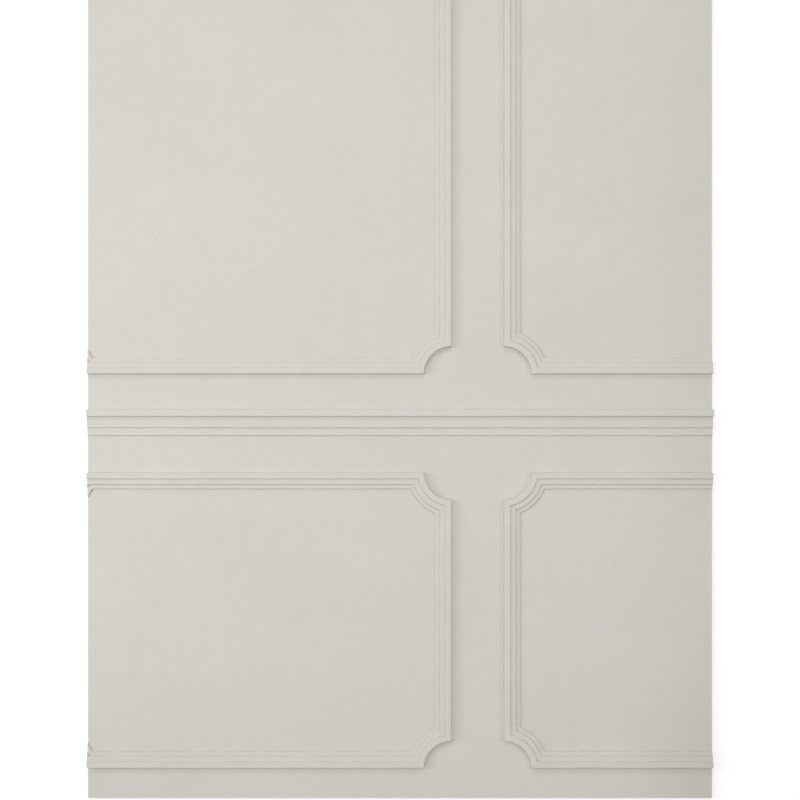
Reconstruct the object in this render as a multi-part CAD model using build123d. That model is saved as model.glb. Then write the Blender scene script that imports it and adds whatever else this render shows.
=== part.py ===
from build123d import *

import os

# A cast wall panel with two bays of stepped frames above and below a moulded rail.
# It lies on its back: X runs to the right of someone who faces the panel,
# Y runs up the wall and Z comes out of the face. The origin is the middle of the back.
# Millimetres throughout.

# The sheet
SHEET_WIDTH = 1220.0
SHEET_HEIGHT = 2440.0
GROUND_THICKNESS = 12.0

# The bays: the left one runs off the sheet's left side, and the right one off its right side
STILE_CENTRE_FROM_LEFT = 761.3
STILE_WIDTH = 103.0
BAY_WIDTH = 780.0

# The frame moulding, three flat bands that step up from the field to the outer edge
FRAME_INNER_BAND = 8.8
FRAME_MIDDLE_BAND = 10.7
FRAME_OUTER_BAND = 12.2
FRAME_INNER_RISE = 4.0
FRAME_MIDDLE_RISE = 4.0
FRAME_OUTER_RISE = 4.0
SCOOP_RADIUS = 53.0

# The rail from side to side, three flat bands that step up from its bottom to its top
RAIL_BOTTOM_BAND = 15.0
RAIL_MIDDLE_BAND = 21.5
RAIL_TOP_BAND = 14.0
RAIL_BOTTOM_RISE = 4.0
RAIL_MIDDLE_RISE = 4.0
RAIL_TOP_RISE = 8.0

# The spaces up the wall, from the bottom edge of the sheet
BOTTOM_MARGIN = 60.5
LOWER_FRAME_HEIGHT = 575.5
GAP_BELOW_RAIL = 72.5
GAP_ABOVE_RAIL = 69.5
TOP_MARGIN = 60.5

# The rounding along the arrises of the mouldings, and the share of a low wall that it may take
ARRIS_RADIUS = 0.8
ARRIS_SHARE_OF_WALL = 0.5

# Positions worked out from the sizes above
left_side = -SHEET_WIDTH / 2
bottom_edge = -SHEET_HEIGHT / 2
top_edge = SHEET_HEIGHT / 2
stile_centre = left_side + STILE_CENTRE_FROM_LEFT
bay_pitch = BAY_WIDTH + STILE_WIDTH
lower_frame_bottom = bottom_edge + BOTTOM_MARGIN
lower_frame_top = lower_frame_bottom + LOWER_FRAME_HEIGHT
rail_bottom = lower_frame_top + GAP_BELOW_RAIL
rail_top = rail_bottom + RAIL_BOTTOM_BAND + RAIL_MIDDLE_BAND + RAIL_TOP_BAND
upper_frame_bottom = rail_top + GAP_ABOVE_RAIL
upper_frame_top = top_edge - TOP_MARGIN

# Levels worked out from the sizes above, measured from the back
frame_levels = (
    GROUND_THICKNESS + FRAME_INNER_RISE,
    GROUND_THICKNESS + FRAME_INNER_RISE + FRAME_MIDDLE_RISE,
    GROUND_THICKNESS + FRAME_INNER_RISE + FRAME_MIDDLE_RISE + FRAME_OUTER_RISE,
)
rail_levels = (
    GROUND_THICKNESS + RAIL_BOTTOM_RISE,
    GROUND_THICKNESS + RAIL_BOTTOM_RISE + RAIL_MIDDLE_RISE,
    GROUND_THICKNESS + RAIL_BOTTOM_RISE + RAIL_MIDDLE_RISE + RAIL_TOP_RISE,
)


def frame_outline(left, bottom, right, top, inset):
    """A frame's outer outline, moved inwards by the inset: straight sides and scooped corners.

    Each scoop is an arc about the frame's own outer corner, so the insets stay parallel
    and every arc meets its two straight sides at a sharp point."""
    body = Rectangle(right - left - 2 * inset, top - bottom - 2 * inset)
    body = Pos((left + right) / 2, (bottom + top) / 2) * body
    scoop = Circle(SCOOP_RADIUS + inset)
    return body - [Pos(x, y) * scoop for x in (left, right) for y in (bottom, top)]


def frame_solids(left, bottom, right, top):
    """One stepped frame as three rings that stand on the back plane, the lowest the widest."""
    outer = frame_outline(left, bottom, right, top, 0.0)
    insets = (
        FRAME_OUTER_BAND + FRAME_MIDDLE_BAND + FRAME_INNER_BAND,
        FRAME_OUTER_BAND + FRAME_MIDDLE_BAND,
        FRAME_OUTER_BAND,
    )
    rings = []
    for inset, level in zip(insets, frame_levels):
        ring = outer - frame_outline(left, bottom, right, top, inset)
        rings.append(extrude(ring, level))
    return rings


def all_frame_solids():
    """The frames of both bays and both rows, whole, as if the sheet went on past its sides."""
    rows = ((lower_frame_bottom, lower_frame_top), (upper_frame_bottom, upper_frame_top))
    solids = []
    for side in (-1, 1):
        bay_centre = stile_centre + side * bay_pitch / 2
        left = bay_centre - BAY_WIDTH / 2
        right = bay_centre + BAY_WIDTH / 2
        for bottom, top in rows:
            solids += frame_solids(left, bottom, right, top)
    return solids


def rail_solid():
    """The rail's stepped section, drawn across the rail and run from side to side."""
    low_step = rail_bottom + RAIL_BOTTOM_BAND
    high_step = low_step + RAIL_MIDDLE_BAND
    low_level, middle_level, high_level = rail_levels
    section = Polyline(
        (rail_bottom, 0.0),
        (rail_bottom, low_level),
        (low_step, low_level),
        (low_step, middle_level),
        (high_step, middle_level),
        (high_step, high_level),
        (rail_top, high_level),
        (rail_top, 0.0),
        close=True,
    )
    across_rail = Plane(origin=(left_side, 0, 0), x_dir=(0, 1, 0), z_dir=(1, 0, 0))
    return extrude(across_rail * make_face(section), SHEET_WIDTH)


def sheet_solid(thickness):
    """A plain block as wide and as high as the sheet."""
    return extrude(Rectangle(SHEET_WIDTH, SHEET_HEIGHT), thickness)


def is_moulding_wall(face):
    """Whether a face is a steep side of a band, and not one of the sheet's own four sides."""
    box = face.bounding_box()
    middle = box.center()
    upright = abs(face.normal_at().Z) < 0.5
    own_side = abs(middle.X) > SHEET_WIDTH / 2 - 0.01 or abs(middle.Y) > SHEET_HEIGHT / 2 - 0.01
    return upright and not own_side


def eased(panel):
    """The panel with the top edge of every moulding wall rounded."""
    walls = panel.faces().filter_by(is_moulding_wall)
    lowest_wall = min(wall.bounding_box().size.Z for wall in walls)
    radius = min(ARRIS_RADIUS, ARRIS_SHARE_OF_WALL * lowest_wall)
    arrises = [edge for wall in walls for edge in wall.edges().group_by(Axis.Z)[-1]]
    return fillet(arrises, radius)


def panel_solid():
    """The whole panel as one casting: ground, rail, and frames cut off at the sheet's sides."""
    limits = sheet_solid(max(frame_levels + rail_levels))
    panel = sheet_solid(GROUND_THICKNESS) + rail_solid()
    for frame in all_frame_solids():
        panel += frame & limits
    return eased(panel)


def main():
    panel = panel_solid()
    print("solids", len(panel.solids()), "volume", round(panel.volume), "valid", panel.is_valid)
    os.makedirs("parts", exist_ok=True)
    export_step(panel.solids()[0], "parts/panel.step")


main()
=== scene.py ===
import math

import bmesh
import bpy
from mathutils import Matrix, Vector, kdtree, noise
from mathutils.geometry import delaunay_2d_cdt


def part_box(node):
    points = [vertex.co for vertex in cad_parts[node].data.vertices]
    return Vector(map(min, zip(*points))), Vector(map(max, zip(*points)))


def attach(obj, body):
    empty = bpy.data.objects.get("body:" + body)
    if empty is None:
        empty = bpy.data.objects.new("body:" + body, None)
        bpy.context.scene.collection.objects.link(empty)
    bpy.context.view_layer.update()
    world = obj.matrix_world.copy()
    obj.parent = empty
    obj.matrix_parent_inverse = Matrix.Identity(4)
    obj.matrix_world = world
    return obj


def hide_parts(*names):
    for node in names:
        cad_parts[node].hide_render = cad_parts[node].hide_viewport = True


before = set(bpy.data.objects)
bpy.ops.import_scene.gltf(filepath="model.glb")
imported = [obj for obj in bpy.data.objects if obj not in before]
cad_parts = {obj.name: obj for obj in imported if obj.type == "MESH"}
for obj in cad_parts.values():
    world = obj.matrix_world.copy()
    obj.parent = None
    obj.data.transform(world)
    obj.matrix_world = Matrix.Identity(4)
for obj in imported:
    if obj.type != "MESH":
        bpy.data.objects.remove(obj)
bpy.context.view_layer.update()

# The panel lies on its back: X to the right of someone who faces it, Y up the wall, Z out of
# the face. Sizes are in metres, and the sheet's own width and height come from the frame.
high_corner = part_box("panel")[1]
half_width = high_corner.x
half_height = high_corner.y

# Levels above the back
GROUND = 0.012
FRAME_LEVELS = (0.016, 0.020, 0.024)
RAIL_LEVELS = (0.016, 0.020, 0.028)

# The bays and the frame moulding
STILE_CENTRE_FROM_LEFT = 0.7613
STILE_WIDTH = 0.103
BAY_WIDTH = 0.780
FRAME_INNER_BAND = 0.0088
FRAME_MIDDLE_BAND = 0.0107
FRAME_OUTER_BAND = 0.0122
SCOOP_RADIUS = 0.053

# The rail and the spaces up the wall
RAIL_BOTTOM_BAND = 0.015
RAIL_MIDDLE_BAND = 0.0215
RAIL_TOP_BAND = 0.014
BOTTOM_MARGIN = 0.0605
LOWER_FRAME_HEIGHT = 0.5755
GAP_BELOW_RAIL = 0.0725
GAP_ABOVE_RAIL = 0.0695
TOP_MARGIN = 0.0605

# How the cast surface departs from the drawn one: draft and rounding of the mouldings
DRAFT = 0.0003
ARRIS = 0.0008
ROOT = 0.0005
SUPPORT = 0.0005
ROUNDING_STEPS = 3

# Waves of the face, as waves in a metre, each one's share of the height and its noise layer
WAVE_HEIGHT = 0.00012
SLOW_WAVES = 3.1
SLOW_SHARE = 0.7
SLOW_LAYER = 4.7
QUICK_WAVES = 11.0
QUICK_SHARE = 0.4
QUICK_LAYER = 1.3

# Sideways wobble of the mouldings, which leaves a border along the sheet's sides alone
WOBBLE = 0.00018
WOBBLE_WAVES = 14.0
WOBBLE_X_LAYER = 7.1
WOBBLE_Y_LAYER = 9.4
STEADY_BORDER = 0.004

# Rows down the sheet's sides and round to its back, as (inset, level)
SIDE_ROWS = ((0.0, 0.0095), (0.0, 0.005), (0.0, 0.0011), (0.0003, 0.0003), (0.0011, 0.0))

# How finely the mesh is divided, and how far it is drawn past the bays before it is cut
COLUMN_SPACING = 0.010
ARC_COLUMNS = 20
GROUND_END_COLUMNS = 60
FLAT_SPACING = 0.0105
BACK_SPACING = 0.035
BLEED = 0.012

# The share of the spacing that a flat region's own points keep from its outlines
SPACE_BY_LOOPS = 0.6

# Limits within which points are one, lie on a line or lie on a side, and the angle of a sharp edge
WELD = 2e-6
SLIVER = 3e-6
ON_CUT = 1e-6
ON_LINE = 1e-7
ON_SIDE = 1e-4
SAME_LEVEL = 1e-9
SHARP_ANGLE = math.radians(50)

# The panel's two materials, in the order of its slots
FACE_SLOT = 0
RAW_SLOT = 1

# The mesh layer that marks the arrises and the roots of the mouldings for the material
EDGE_LAYER = "edge"

# Positions worked out from the sizes above
stile_centre = -half_width + STILE_CENTRE_FROM_LEFT
bay_pitch = BAY_WIDTH + STILE_WIDTH
lower_frame_bottom = -half_height + BOTTOM_MARGIN
lower_frame_top = lower_frame_bottom + LOWER_FRAME_HEIGHT
rail_bottom = lower_frame_top + GAP_BELOW_RAIL
rail_top = rail_bottom + RAIL_BOTTOM_BAND + RAIL_MIDDLE_BAND + RAIL_TOP_BAND
upper_frame_bottom = rail_top + GAP_ABOVE_RAIL
upper_frame_top = half_height - TOP_MARGIN
region_left = stile_centre - bay_pitch / 2 - BAY_WIDTH / 2 - BLEED
region_right = stile_centre + bay_pitch / 2 + BAY_WIDTH / 2 + BLEED


def bay_boxes():
    """The outer boxes of the four whole frames, as (left, bottom, right, top)."""
    boxes = []
    for side in (-1, 1):
        centre = stile_centre + side * bay_pitch / 2
        left = centre - BAY_WIDTH / 2
        right = centre + BAY_WIDTH / 2
        boxes.append((left, lower_frame_bottom, right, lower_frame_top))
        boxes.append((left, upper_frame_bottom, right, upper_frame_top))
    return boxes


def arc_between(corner, before, after, radius):
    """Points of a rounding at a corner of a profile, tangent to the lines before and after it."""
    into = (before - corner).normalized()
    out = (after - corner).normalized()
    half_angle = into.angle(out) / 2
    reach = radius / math.tan(half_angle)
    centre = corner + (into + out).normalized() * radius / math.sin(half_angle)
    start = corner + into * reach - centre
    end = corner + out * reach - centre
    points = []
    for step in range(ROUNDING_STEPS + 1):
        share = step / ROUNDING_STEPS
        points.append(centre + (start.lerp(end, share)).normalized() * radius)
    return points


def rounded_profile(corners):
    """A stepped profile with every corner rounded, and support points on its flat stretches.

    Each point is (place across the moulding, level, edge), where edge is 1 on the arrises,
    -1 in the roots and 0 elsewhere."""
    points = [Vector(p) for p in corners]
    made = [points[0].to_3d()]
    for before, corner, after in zip(points, points[1:], points[2:]):
        convex = (corner - before).cross(after - corner) < 0
        arc = arc_between(corner, before, after, ARRIS if convex else ROOT)
        if abs(corner.y - before.y) < SAME_LEVEL:
            made.append((arc[0] + (before - corner).normalized() * SUPPORT).to_3d())
        made += [Vector((point.x, point.y, 1.0 if convex else -1.0)) for point in arc]
        if abs(after.y - corner.y) < SAME_LEVEL:
            made.append((arc[-1] + (after - corner).normalized() * SUPPORT).to_3d())
    made.append(points[-1].to_3d())
    return made


def frame_profile():
    """The frame's section as (inset from its outer edge, level), from the ground to the field."""
    first, second, third = FRAME_OUTER_BAND, FRAME_MIDDLE_BAND, FRAME_INNER_BAND
    inner, middle, outer = FRAME_LEVELS
    margin = ROOT + 2 * SUPPORT
    return rounded_profile((
        (-margin, GROUND),
        (0.0, GROUND),
        (DRAFT, outer),
        (first - DRAFT, outer),
        (first, middle),
        (first + second - DRAFT, middle),
        (first + second, inner),
        (first + second + third - DRAFT, inner),
        (first + second + third, GROUND),
        (first + second + third + margin, GROUND),
    ))


def rail_profile():
    """The rail's section as (height up the wall, level), from below the rail to above it."""
    low_step = rail_bottom + RAIL_BOTTOM_BAND
    high_step = low_step + RAIL_MIDDLE_BAND
    low, middle, high = RAIL_LEVELS
    margin = ROOT + 2 * SUPPORT
    return rounded_profile((
        (rail_bottom - margin, GROUND),
        (rail_bottom, GROUND),
        (rail_bottom + DRAFT, low),
        (low_step, low),
        (low_step + DRAFT, middle),
        (high_step, middle),
        (high_step + DRAFT, high),
        (rail_top - DRAFT, high),
        (rail_top, GROUND),
        (rail_top + margin, GROUND),
    ))


def run_between(start, end, count):
    """Points from start up to, but not including, end."""
    return [start.lerp(end, step / count) for step in range(count)]


def frame_outline(bay, inset):
    """Points round a frame at an inset, as many at every inset, with scooped corners."""
    left, bottom, right, top = bay
    radius = SCOOP_RADIUS + inset
    lead = math.asin(inset / radius)
    arcs = []
    for turn, (x, y) in enumerate(((left, bottom), (right, bottom), (right, top), (left, top))):
        base = turn * math.pi / 2
        sweep = math.pi / 2 - 2 * lead
        arc = []
        for step in range(ARC_COLUMNS + 1):
            angle = base + math.pi / 2 - lead - sweep * step / ARC_COLUMNS
            arc.append(Vector((x + radius * math.cos(angle), y + radius * math.sin(angle))))
        arcs.append(arc)
    spans = (right - left, top - bottom, right - left, top - bottom)
    points = []
    for turn in range(4):
        count = round((spans[turn] - 2 * SCOOP_RADIUS) / COLUMN_SPACING)
        points += arcs[turn][:-1]
        points += run_between(arcs[turn][-1], arcs[(turn + 1) % 4][0], count)
    return points


def inside_frame(bay, point, inset):
    """Whether a point lies inside a frame's outline at an inset."""
    left, bottom, right, top = bay
    x, y = point
    if not (left + inset < x < right - inset and bottom + inset < y < top - inset):
        return False
    nearest = Vector((min(x - left, right - x), min(y - bottom, top - y)))
    return nearest.length > SCOOP_RADIUS + inset


def flat_region(loops, box, keep, spacing):
    """Points and triangles over a flat region between closed loops, evenly spaced within it."""
    points = []
    edges = []
    for loop in loops:
        first = len(points)
        points += loop
        edges += [(first + i, first + (i + 1) % len(loop)) for i in range(len(loop))]
    tree = kdtree.KDTree(len(points))
    for index, point in enumerate(points):
        tree.insert(point.to_3d(), index)
    tree.balance()
    left, bottom, right, top = box
    row_height = spacing * math.sqrt(3) / 2
    for row in range(1, int((top - bottom) / row_height)):
        for column in range(1, int((right - left) / spacing)):
            shift = 0.5 * spacing * (row % 2)
            point = Vector((left + column * spacing + shift, bottom + row * row_height))
            if keep(point) and tree.find(point.to_3d())[2] > SPACE_BY_LOOPS * spacing:
                points.append(point)
    made = delaunay_2d_cdt(points, edges, [], 0, ON_LINE)
    corners, triangles = made[0], made[2]
    kept = []
    for triangle in triangles:
        middle = (corners[triangle[0]] + corners[triangle[1]] + corners[triangle[2]]) / 3
        if keep(middle):
            kept.append(triangle)
    return corners, kept


def add_flat(mesh, region, level):
    """Adds a flat region to the mesh at a level."""
    corners, triangles = region
    made = [mesh.verts.new((point.x, point.y, level)) for point in corners]
    for a, b, c in triangles:
        mesh.faces.new((made[a], made[b], made[c]))


def add_row(mesh, points, level, edge):
    """Adds one row of the mesh's points at a level, marked as arris, root or neither."""
    marks = mesh.verts.layers.float[EDGE_LAYER]
    row = [mesh.verts.new((point.x, point.y, level)) for point in points]
    for vert in row:
        vert[marks] = edge
    return row


def add_frame(mesh, bay, profile):
    """Adds one frame's moulding as rows of quads, and the field inside it."""
    rows = []
    for inset, level, edge in profile:
        rows.append(add_row(mesh, frame_outline(bay, inset), level, edge))
    count = len(rows[0])
    for outer, inner in zip(rows, rows[1:]):
        for i in range(count):
            j = (i + 1) % count
            mesh.faces.new((outer[i], outer[j], inner[j], inner[i]))
    inset = profile[-1].x
    outline = frame_outline(bay, inset)

    def in_field(point):
        return inside_frame(bay, point, inset + SLIVER)

    add_flat(mesh, flat_region([outline], bay, in_field, FLAT_SPACING), GROUND)


def straight_line(y):
    """Points along the region at one height, from left to right."""
    count = round((region_right - region_left) / COLUMN_SPACING)
    start = Vector((region_left, y))
    end = Vector((region_right, y))
    return run_between(start, end, count) + [end]


def add_rail(mesh, profile):
    """Adds the rail as rows of quads from side to side."""
    rows = []
    for y, level, edge in profile:
        rows.append(add_row(mesh, straight_line(y), level, edge))
    for low, high in zip(rows, rows[1:]):
        for i in range(len(low) - 1):
            mesh.faces.new((low[i], low[i + 1], high[i + 1], high[i]))


def add_ground(mesh, bottom, top, bays, inset):
    """Adds the ground from one height to another, round the frames that stand on it."""
    low_left, low_right = Vector((region_left, bottom)), Vector((region_right, bottom))
    high_left, high_right = Vector((region_left, top)), Vector((region_right, top))
    outline = straight_line(bottom)[:-1]
    outline += run_between(low_right, high_right, GROUND_END_COLUMNS)
    outline += list(reversed(straight_line(top)))[:-1]
    outline += run_between(high_left, low_left, GROUND_END_COLUMNS)
    loops = [outline] + [frame_outline(bay, inset) for bay in bays]
    box = (region_left, bottom, region_right, top)

    def on_ground(point):
        return not any(inside_frame(bay, point, inset - SLIVER) for bay in bays)

    add_flat(mesh, flat_region(loops, box, on_ground, FLAT_SPACING), GROUND)


def boundary_loop(mesh):
    """The open edge of the mesh as one closed list of its points, in order."""
    edges = [edge for edge in mesh.edges if edge.is_boundary]
    following = {}
    for edge in edges:
        for vert in edge.verts:
            following.setdefault(vert, []).append(edge.other_vert(vert))
    start = min(following, key=lambda v: (v.co.x, v.co.y))
    loop = [start]
    previous = None
    while True:
        options = [v for v in following[loop[-1]] if v is not previous]
        previous = loop[-1]
        if options[0] is start and len(loop) > 2:
            return loop
        loop.append(options[0])


def close_behind(mesh):
    """Adds the four sides and the flat back."""
    loop = boundary_loop(mesh)
    previous = loop
    for inset, level in SIDE_ROWS:
        row = []
        for vert in loop:
            x = max(-half_width + inset, min(half_width - inset, vert.co.x))
            y = max(-half_height + inset, min(half_height - inset, vert.co.y))
            row.append(mesh.verts.new((x, y, level)))
        for i in range(len(loop)):
            j = (i + 1) % len(loop)
            mesh.faces.new((previous[i], previous[j], row[j], row[i]))
        previous = row
    outline = [vert.co.xy.copy() for vert in previous]
    inset, level = SIDE_ROWS[-1]
    box = (-half_width + inset, -half_height + inset, half_width - inset, half_height - inset)
    add_flat(mesh, flat_region([outline], box, lambda point: True, BACK_SPACING), level)


def wave(point, waves, layer):
    """A smooth value from -1 to 1 that varies over the sheet, with another pattern in each layer."""
    return noise.noise(Vector((point.x * waves, point.y * waves, layer)))


def near_side(point, reach):
    """Whether a point lies within a reach of one of the sheet's own four sides."""
    return abs(point.x) > half_width - reach or abs(point.y) > half_height - reach


def uneven(mesh):
    """Gives the face the slow waves and the slightly uneven arrises of a cast surface.

    The waves only go down from the drawn face, so that it stays inside the CAD box."""
    for vert in mesh.verts:
        drawn = vert.co.copy()
        slow = SLOW_SHARE * wave(drawn, SLOW_WAVES, SLOW_LAYER)
        quick = QUICK_SHARE * wave(drawn, QUICK_WAVES, QUICK_LAYER)
        vert.co.z += WAVE_HEIGHT * (slow + quick - (SLOW_SHARE + QUICK_SHARE))
        if not near_side(drawn, STEADY_BORDER):
            vert.co.x += WOBBLE * wave(drawn, WOBBLE_WAVES, WOBBLE_X_LAYER)
            vert.co.y += WOBBLE * wave(drawn, WOBBLE_WAVES, WOBBLE_Y_LAYER)


def is_raw(face):
    """Whether a face of the mesh lies in the back or in one of the sheet's own four sides."""
    behind = face.normal.z < -0.9
    upright = abs(face.normal.z) < 0.1
    return behind or (upright and near_side(face.calc_center_median(), ON_SIDE))


def panel_mesh():
    """The whole panel as one closed mesh."""
    mesh = bmesh.new()
    mesh.verts.layers.float.new(EDGE_LAYER)
    frame_section = frame_profile()
    rail_section = rail_profile()
    bays = bay_boxes()
    for bay in bays:
        add_frame(mesh, bay, frame_section)
    add_rail(mesh, rail_section)
    inset = frame_section[0].x
    add_ground(mesh, -half_height, rail_section[0].x, bays[0::2], inset)
    add_ground(mesh, rail_section[-1].x, half_height, bays[1::2], inset)
    bmesh.ops.remove_doubles(mesh, verts=mesh.verts, dist=WELD)
    for side in (-1, 1):
        bmesh.ops.bisect_plane(
            mesh,
            geom=mesh.verts[:] + mesh.edges[:] + mesh.faces[:],
            dist=ON_CUT,
            plane_co=(side * half_width, 0, 0),
            plane_no=(side, 0, 0),
            clear_outer=True,
        )
    uneven(mesh)
    close_behind(mesh)
    bmesh.ops.remove_doubles(mesh, verts=mesh.verts, dist=WELD)
    bmesh.ops.recalc_face_normals(mesh, faces=mesh.faces)
    for face in mesh.faces:
        face.smooth = True
        face.material_index = RAW_SLOT if is_raw(face) else FACE_SLOT
    for edge in mesh.edges:
        edge.smooth = edge.calc_face_angle(0.0) < SHARP_ANGLE
    data = bpy.data.meshes.new("panel_cast")
    mesh.to_mesh(data)
    print("panel triangles", sum(len(p.vertices) - 2 for p in data.polygons),
          "open edges", sum(1 for e in mesh.edges if not e.is_manifold))
    mesh.free()
    return data


# Pits, as (cells in a metre, size as a share of a cell, share of the cells that have one)
FACE_PITS = (42.0, 0.085, 0.02)
RAW_BUBBLES = (60.0, 0.18, 0.25)

# Trowel edges follow one level of the clouds: that level, their width on its scale, their strength
TROWEL_LEVEL = 0.53
TROWEL_WIDTH = 0.003
TROWEL_STRENGTH = 0.5

# The few marks that stand out on the face: each one's strength and its points (x, y) from the
# middle of the panel
SCUFF_WIDTH = 0.0022
SCUFFS = (
    (0.5, ((-0.330, -0.270), (-0.313, -0.201))),
    (1.0, ((-0.317, -0.203), (-0.270, -0.180))),
    (0.5, ((-0.270, -0.180), (-0.121, -0.213))),
    (0.6, ((-0.547, -0.291), (-0.518, -0.325))),
    (0.7, ((-0.307, -0.976), (-0.254, -0.927), (-0.219, -0.886), (-0.155, -0.833))),
    (0.7, ((-0.102, -0.847), (-0.024, -0.780))),
    (0.6, ((0.319, -0.065), (0.358, -0.055), (0.397, -0.035), (0.424, 0.004))),
)

# Colours of the smooth face and of the raw back and sides
FACE_LIGHT = (0.712, 0.686, 0.637, 1.0)
FACE_DARK = (0.652, 0.625, 0.574, 1.0)
# The pit colour also darkens the roots of the mouldings, as painted shade
FACE_PIT_AND_ROOT_SHADE = (0.36, 0.33, 0.29, 1.0)
# Painted shade towards the sheet's right side and bottom corners, where the light falls off
FACE_BORDER_SHADE = (0.341, 0.328, 0.303, 1.0)
TINT_YELLOW = (0.996, 1.003, 0.988)
TINT_PINK = (1.004, 0.997, 1.012)
RAW_LIGHT = (0.70, 0.68, 0.64, 1.0)
RAW_DARK = (0.56, 0.535, 0.49, 1.0)

# How far the painted border shade reaches in from the sheet's sides, and how much grey each border
# adds; it stands for light that falls off towards the edges.
# The bottom right corner takes the right side's grey once more, times the gain.
RIGHT_BORDER = 0.19
RIGHT_GREY = 0.52
LEFT_BORDER = 0.40
LEFT_GREY = 0.45
BOTTOM_BORDER = 0.30
BOTTOM_GREY = 0.12
CORNER_GAIN = 1.33
BORDER_STRENGTH = 0.176


class Shader:
    """A small helper that adds nodes to one material or world and joins them."""

    def __init__(self, owner):
        owner.use_nodes = True
        self.owner = owner
        self.tree = owner.node_tree
        self.tree.nodes.clear()

    def add(self, kind, settings=None, **inputs):
        """A new node with its settings, and inputs by name with _ for each space."""
        node = self.tree.nodes.new(kind)
        for key, value in (settings or {}).items():
            setattr(node, key, value)
        for key, value in inputs.items():
            self.feed(node.inputs[key.replace("_", " ")], value)
        return node

    def feed(self, socket, value):
        """Joins a socket to an output, or sets it to a constant."""
        if isinstance(value, bpy.types.NodeSocket):
            self.tree.links.new(value, socket)
        else:
            socket.default_value = value

    def maths(self, operation, *values, clamp=False):
        """The result of one sum on numbers or outputs."""
        node = self.tree.nodes.new("ShaderNodeMath")
        node.operation = operation
        node.use_clamp = clamp
        for socket, value in zip(node.inputs, values):
            self.feed(socket, value)
        return node.outputs[0]

    def remap(self, value, low, high, to_low=0.0, to_high=1.0):
        """A value moved smoothly from one range to another, and held at its ends."""
        node = self.add("ShaderNodeMapRange", {"interpolation_type": "SMOOTHSTEP"})
        names = ("Value", "From Min", "From Max", "To Min", "To Max")
        for name, given in zip(names, (value, low, high, to_low, to_high)):
            self.feed(node.inputs[name], given)
        return node.outputs[0]

    def noise(self, place, scale, detail=2.0, roughness=0.5, dimensions="2D"):
        """Cloudy noise of about one half, with its scale in waves to a metre."""
        return self.add(
            "ShaderNodeTexNoise",
            {"noise_dimensions": dimensions},
            Vector=place,
            Scale=scale,
            Detail=detail,
            Roughness=roughness,
        ).outputs["Fac"]

    def blend(self, share, none, whole):
        """A colour that goes from none to whole as the share goes from 0 to 1."""
        node = self.add("ShaderNodeMix", {"data_type": "RGBA", "clamp_factor": True})
        for index, value in ((0, share), (6, none), (7, whole)):
            self.feed(node.inputs[index], value)
        return node.outputs[2]

    def tinted(self, colour, share, none, whole):
        """A colour times a tint that goes from none to whole as the share goes from 0 to 1."""
        tint = self.add("ShaderNodeMix", {"data_type": "VECTOR", "clamp_factor": True})
        for index, value in ((0, share), (4, none), (5, whole)):
            self.feed(tint.inputs[index], value)
        node = self.add("ShaderNodeVectorMath", {"operation": "MULTIPLY"})
        self.feed(node.inputs[0], colour)
        self.feed(node.inputs[1], tint.outputs[1])
        return node.outputs[0]

    def stretched(self, place, scale, turn=0.0):
        """A place scaled along each axis, after a turn about Z."""
        turned = (0.0, 0.0, turn)
        node = self.add("ShaderNodeMapping", Vector=place, Scale=scale, Rotation=turned)
        return node.outputs[0]

    def finish(self, surface):
        """Joins the surface to the output, and gives back the material or world."""
        kind = "World" if isinstance(self.owner, bpy.types.World) else "Material"
        output = self.tree.nodes.new("ShaderNodeOutput" + kind)
        self.tree.links.new(surface, output.inputs["Surface"])
        return self.owner


def centred(shader, value, weight):
    """A texture value of about one half, moved to zero and weighted."""
    return shader.maths("MULTIPLY", shader.maths("SUBTRACT", value, 0.5), weight)


def layered(shader, start, layers):
    """A start value with each texture of the layers moved to zero, weighted and added."""
    total = start
    for value, weight in layers:
        total = shader.maths("ADD", total, centred(shader, value, weight))
    return total


def product(shader, *values):
    """All the values multiplied together."""
    total = values[0]
    for value in values[1:]:
        total = shader.maths("MULTIPLY", total, value)
    return total


def pits(shader, place, kind, dimensions="2D"):
    """Small round pits of one kind, in some of the cells of a pattern."""
    scale, size, share = kind
    pattern = {"voronoi_dimensions": dimensions}
    cells = shader.add("ShaderNodeTexVoronoi", pattern, Vector=place, Scale=scale)
    draw = shader.add("ShaderNodeTexWhiteNoise", Vector=cells.outputs["Position"])
    drawn = shader.add("ShaderNodeSeparateColor", Color=draw.outputs["Color"])
    reach = shader.maths("MULTIPLY", drawn.outputs["Green"], size)
    inside = shader.maths("SUBTRACT", reach, cells.outputs["Distance"])
    hole = shader.remap(inside, 0.0, size * 0.5)
    present = shader.maths("LESS_THAN", drawn.outputs["Red"], share)
    return shader.maths("MULTIPLY", hole, present)


def trowel_edges(shader, slow, patch):
    """Thin curved edges where passes of the trowel met, broken up in patches."""
    off = shader.maths("ABSOLUTE", shader.maths("SUBTRACT", slow, TROWEL_LEVEL))
    line = shader.remap(off, 0.0, TROWEL_WIDTH, 1.0, 0.0)
    seen = shader.remap(patch, 0.50, 0.58)
    return product(shader, line, seen, TROWEL_STRENGTH)


def scuff(shader, place, start, end, width, patch):
    """A straight broken scratch between two points of the face."""
    along = Vector(end) - Vector(start)
    from_start = shader.add(
        "ShaderNodeMapping",
        {"vector_type": "TEXTURE"},
        Vector=place,
        Location=(start[0], start[1], 0.0),
        Rotation=(0.0, 0.0, math.atan2(along.y, along.x)),
    )
    parts = shader.add("ShaderNodeSeparateXYZ", Vector=from_start.outputs[0])
    bend = centred(shader, patch, width * 5)
    aside = shader.maths("ABSOLUTE", shader.maths("ADD", parts.outputs["Y"], bend))
    line = shader.remap(aside, 0.0, width, 1.0, 0.0)
    begun = shader.remap(parts.outputs["X"], 0.0, along.length * 0.15)
    ended = shader.remap(parts.outputs["X"], along.length * 0.7, along.length, 1.0, 0.0)
    broken = shader.remap(patch, 0.42, 0.55)
    return product(shader, line, begun, ended, broken)


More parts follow.
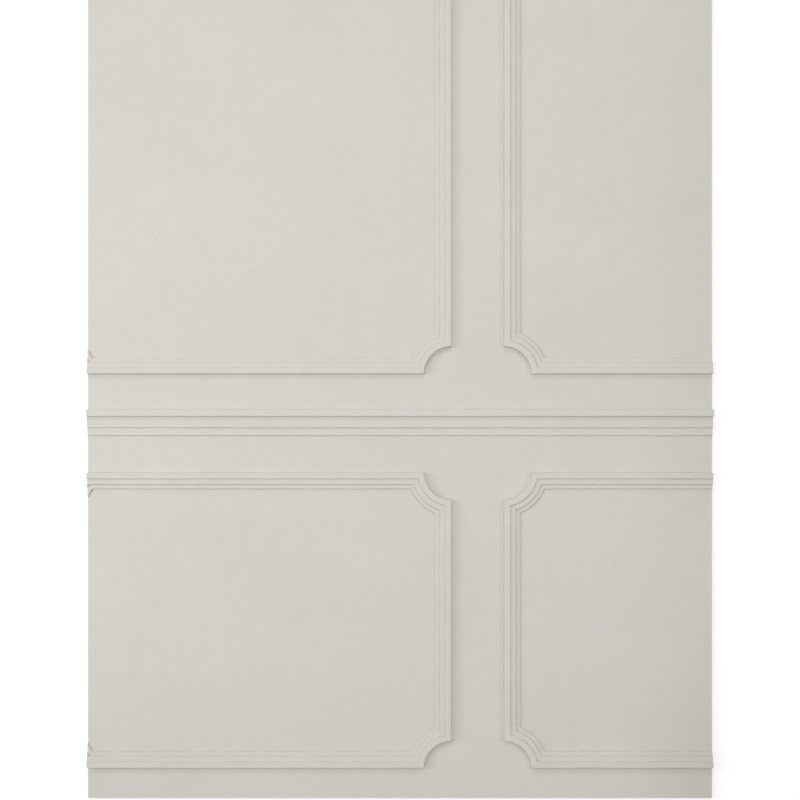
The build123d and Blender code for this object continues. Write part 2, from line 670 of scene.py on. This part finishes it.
def painted_border_shade(shader, place):
    """Painted shade: how much greyer the sheet is towards its right side and its bottom corners,
    where the light falls off.
    """
    parts = shader.add("ShaderNodeSeparateXYZ", Vector=place)
    across, up = parts.outputs["X"], parts.outputs["Y"]
    right = shader.remap(across, half_width - RIGHT_BORDER, half_width, 0.0, RIGHT_GREY)
    left = shader.remap(across, -half_width, -half_width + LEFT_BORDER, LEFT_GREY, 0.0)
    low = shader.remap(up, -half_height, -half_height + BOTTOM_BORDER, 1.0, 0.0)
    corners = shader.maths("MULTIPLY_ADD", right, CORNER_GAIN, left)
    bottom = shader.maths("MULTIPLY", low, shader.maths("ADD", corners, BOTTOM_GREY))
    return shader.maths("MULTIPLY", shader.maths("ADD", right, bottom), BORDER_STRENGTH)


def surface_marks(shader, place, clouds, mottle):
    """The trowel edges and scuffs of the face together."""
    marks = trowel_edges(shader, clouds, mottle)
    for strength, points in SCUFFS:
        for start, end in zip(points, points[1:]):
            mark = scuff(shader, place, start, end, SCUFF_WIDTH, mottle)
            marks = shader.maths("MAXIMUM", marks, shader.maths("MULTIPLY", mark, strength))
    return marks


def matt_surface(shader, colour, rough, specular, height, strength, depth):
    """Ends a material as a matt surface with a fine texture of its own height."""
    bump = shader.add("ShaderNodeBump", Height=height, Strength=strength, Distance=depth)
    surface = shader.add(
        "ShaderNodeBsdfPrincipled",
        Base_Color=colour,
        Roughness=rough,
        Specular_IOR_Level=specular,
        Normal=bump.outputs[0],
    )
    return shader.finish(surface.outputs[0])


def plaster_face():
    """The smoothed, matt, warm off-white plaster of the face."""
    shader = Shader(bpy.data.materials.new("plaster_face"))
    place = shader.add("ShaderNodeTexCoord").outputs["Object"]
    clouds = shader.noise(place, 4.5, 2.0, 0.55)
    mottle = shader.noise(place, 30.0, 5.0, 0.68)
    streaks = shader.noise(shader.stretched(place, (35.0, 170.0, 1.0)), 1.0, 2.0, 0.6)
    grain = shader.noise(place, 420.0, 2.0, 0.6)
    sand = shader.noise(place, 1700.0, 1.0, 0.5)
    holes = pits(shader, place, FACE_PITS)
    marks = surface_marks(shader, place, clouds, mottle)
    edge = shader.add("ShaderNodeAttribute", {"attribute_name": EDGE_LAYER}).outputs["Fac"]

    # Tone, from dark to light, with the arrises and roots a little uneven
    layers = ((clouds, 0.55), (mottle, 0.85), (streaks, 0.35), (grain, 0.7), (sand, 0.5))
    tone = layered(shader, 0.5, layers)
    tone = shader.maths("SUBTRACT", tone, shader.maths("MULTIPLY", marks, 0.8))
    tone = shader.maths("ADD", tone, shader.maths("MULTIPLY", edge, centred(shader, mottle, 1.2)))
    colour = shader.blend(tone, FACE_DARK, FACE_LIGHT)

    # A faint change of hue, painted shade that greys the right side and the bottom corners, darker
    # holes, and painted shade in the roots of the mouldings
    hue = shader.remap(shader.noise(place, 3.2, 3.0, 0.55), 0.3, 0.7)
    colour = shader.tinted(colour, hue, TINT_YELLOW, TINT_PINK)
    colour = shader.blend(painted_border_shade(shader, place), colour, FACE_BORDER_SHADE)
    # Painted shade: a dark line along each root of the mouldings, where contact shadows fall, taken
    # together with the darkened holes
    root = shader.maths("MULTIPLY", edge, -0.18, clamp=True)
    pit_darkening_and_root_shade = shader.maths("MAXIMUM", shader.maths("MULTIPLY", holes, 0.35), root)
    colour = shader.blend(pit_darkening_and_root_shade, colour, FACE_PIT_AND_ROOT_SHADE)

    height = layered(shader, 0.0, ((mottle, 0.9), (grain, 0.25), (sand, 0.12)))
    height = shader.maths("SUBTRACT", height, shader.maths("MULTIPLY", holes, 0.7))
    rough = shader.remap(mottle, 0.3, 0.7, 0.80, 0.92)
    return matt_surface(shader, colour, rough, 0.3, height, 0.7, 0.0005)


def plaster_raw():
    """The unfinished plaster of the back and the sides, with air bubbles from the mould."""
    shader = Shader(bpy.data.materials.new("plaster_raw"))
    place = shader.add("ShaderNodeTexCoord").outputs["Object"]
    clouds = shader.noise(place, 6.0, 5.0, 0.6, "3D")
    patches = shader.noise(place, 45.0, 5.0, 0.65, "3D")
    grain = shader.noise(place, 500.0, 3.0, 0.7, "3D")
    drag = shader.noise(shader.stretched(place, (9.0, 90.0, 90.0), 0.35), 1.0, 4.0, 0.6, "3D")
    bubbles = pits(shader, place, RAW_BUBBLES, "3D")
    tone = layered(shader, 0.5, ((clouds, 1.2), (patches, 0.9), (grain, 0.6)))
    colour = shader.blend(tone, RAW_DARK, RAW_LIGHT)
    colour = shader.blend(shader.maths("MULTIPLY", bubbles, 0.6), colour, FACE_PIT_AND_ROOT_SHADE)
    height = layered(shader, 0.0, ((patches, 0.9), (drag, 1.2), (grain, 0.3)))
    height = shader.maths("SUBTRACT", height, bubbles)
    rough = shader.remap(patches, 0.3, 0.7, 0.85, 0.97)
    return matt_surface(shader, colour, rough, 0.25, height, 0.8, 0.0008)


def make_panel():
    """The visible panel, which stands for the CAD node."""
    panel = bpy.data.objects.new("panel_cast", panel_mesh())
    bpy.context.scene.collection.objects.link(panel)
    panel.data.materials.append(plaster_face())
    panel.data.materials.append(plaster_raw())
    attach(panel, "root")
    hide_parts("panel")


# The photograph's frame, and the camera that looks on it from above
IMAGE_SIZE = 800
PANEL_LEFT_PX = 88
PANEL_RIGHT_PX = 712
PANEL_BOTTOM_PX = 798
CAMERA_DISTANCE = 2.4
CAMERA_AXIS_DOWN_PX = 100
SENSOR_MM = 36.0
CLIP_END = 60.0

# The studio: each lamp's offset from the view's centre, its size and its power
LAMPS = {
    "front": ((0.0, 0.0, 3.6), 1.6, 29.9),
    "top": ((0.0, 2.057, 2.451), 1.0, 14.8),
    "left_high": ((-1.835, 0.0, 2.621), 1.0, 12.9),
    "left_low": ((-2.77, 0.0, 1.6), 0.8, 18.8),
    "right": ((2.25, 0.0, 2.68), 0.3, 11.4),
}
AMBIENT = 0.355
WHITE = (1.0, 1.0, 1.0, 1.0)

# The floor, just under the panel, and its glow to the camera near the panel and far from it
FLOOR_REACH = 12.0
FLOOR_DROP = 0.0005
FLOOR_COLOUR = (0.82, 0.82, 0.82, 1.0)
GLOW_NEAR_REACH = 1.4
GLOW_NEAR = 0.34
GLOW_FAR_REACH = 4.5
GLOW_FAR = 0.85

# The photograph's scale, and the point of the panel in the middle of its frame
metres_per_px = 2 * half_width / (PANEL_RIGHT_PX - PANEL_LEFT_PX)
view_x = -half_width + (IMAGE_SIZE / 2 - PANEL_LEFT_PX) * metres_per_px
view_y = -half_height + (PANEL_BOTTOM_PX - IMAGE_SIZE / 2) * metres_per_px


def make_camera():
    """Looks straight down on the face, from a little below the middle of the frame."""
    data = bpy.data.cameras.new("camera")
    camera = bpy.data.objects.new("camera", data)
    bpy.context.scene.collection.objects.link(camera)
    axis_y = view_y - CAMERA_AXIS_DOWN_PX * metres_per_px
    camera.location = (view_x, axis_y, GROUND + CAMERA_DISTANCE)
    data.shift_y = CAMERA_AXIS_DOWN_PX / IMAGE_SIZE
    data.sensor_width = SENSOR_MM
    data.lens = SENSOR_MM * CAMERA_DISTANCE / (IMAGE_SIZE * metres_per_px)
    data.clip_end = CLIP_END
    bpy.context.scene.camera = camera


def add_lamp(name, offset, size, power):
    """A square soft lamp, aimed at the middle of the photograph's view."""
    data = bpy.data.lights.new(name, "AREA")
    data.shape = "SQUARE"
    data.size = size
    data.energy = power
    lamp = bpy.data.objects.new(name, data)
    lamp.location = Vector((view_x, view_y, 0.0)) + Vector(offset)
    lamp.rotation_mode = "QUATERNION"
    lamp.rotation_quaternion = (-Vector(offset)).to_track_quat("-Z", "Y")
    lamp.visible_camera = False
    bpy.context.scene.collection.objects.link(lamp)


def seen_directly(shader):
    """One for rays from the camera, and for those that gloss and glass send on."""
    path = shader.add("ShaderNodeLightPath")
    seen = shader.maths("MAXIMUM", path.outputs["Is Camera Ray"], path.outputs["Is Glossy Ray"])
    return shader.maths("MAXIMUM", seen, path.outputs["Is Transmission Ray"])


def make_world():
    """A white room: plain soft light from all round, and white where it is seen directly."""
    world = bpy.data.worlds.new("studio")
    bpy.context.scene.world = world
    shader = Shader(world)
    light = shader.add("ShaderNodeBackground", Color=WHITE, Strength=AMBIENT)
    white = shader.add("ShaderNodeBackground", Color=WHITE, Strength=1.0)
    mix = shader.add("ShaderNodeMixShader")
    shader.feed(mix.inputs[0], seen_directly(shader))
    shader.feed(mix.inputs[1], light.outputs[0])
    shader.feed(mix.inputs[2], white.outputs[0])
    shader.finish(mix.outputs[0])


def make_floor():
    """A plain pale floor, white to the camera, that keeps the panel's shadow."""
    data = bpy.data.meshes.new("floor")
    turns = ((-1, -1), (1, -1), (1, 1), (-1, 1))
    corners = [(x * FLOOR_REACH, y * FLOOR_REACH, 0) for x, y in turns]
    data.from_pydata(corners, [], [(0, 1, 2, 3)])
    floor = bpy.data.objects.new("floor", data)
    floor.location.z = -FLOOR_DROP
    bpy.context.scene.collection.objects.link(floor)
    shader = Shader(bpy.data.materials.new("floor"))
    diffuse = shader.add("ShaderNodeBsdfDiffuse", Color=FLOOR_COLOUR)
    place = shader.add("ShaderNodeTexCoord").outputs["Object"]
    away = shader.add("ShaderNodeVectorMath", {"operation": "LENGTH"}, Vector=place)
    reach = away.outputs["Value"]
    lift = shader.remap(reach, GLOW_NEAR_REACH, GLOW_FAR_REACH, GLOW_NEAR, GLOW_FAR)
    strength = shader.maths("MULTIPLY", seen_directly(shader), lift)
    glow = shader.add("ShaderNodeEmission", Color=WHITE, Strength=strength)
    both = shader.add("ShaderNodeAddShader")
    shader.feed(both.inputs[0], diffuse.outputs[0])
    shader.feed(both.inputs[1], glow.outputs[0])
    data.materials.append(shader.finish(both.outputs[0]))


def make_lights():
    """A broad lamp in front, weaker ones round about and an even room."""
    for name, (offset, size, power) in LAMPS.items():
        add_lamp(name, offset, size, power)
    make_world()


make_panel()
make_floor()
make_camera()
make_lights()
bpy.context.scene.view_settings.view_transform = "Standard"
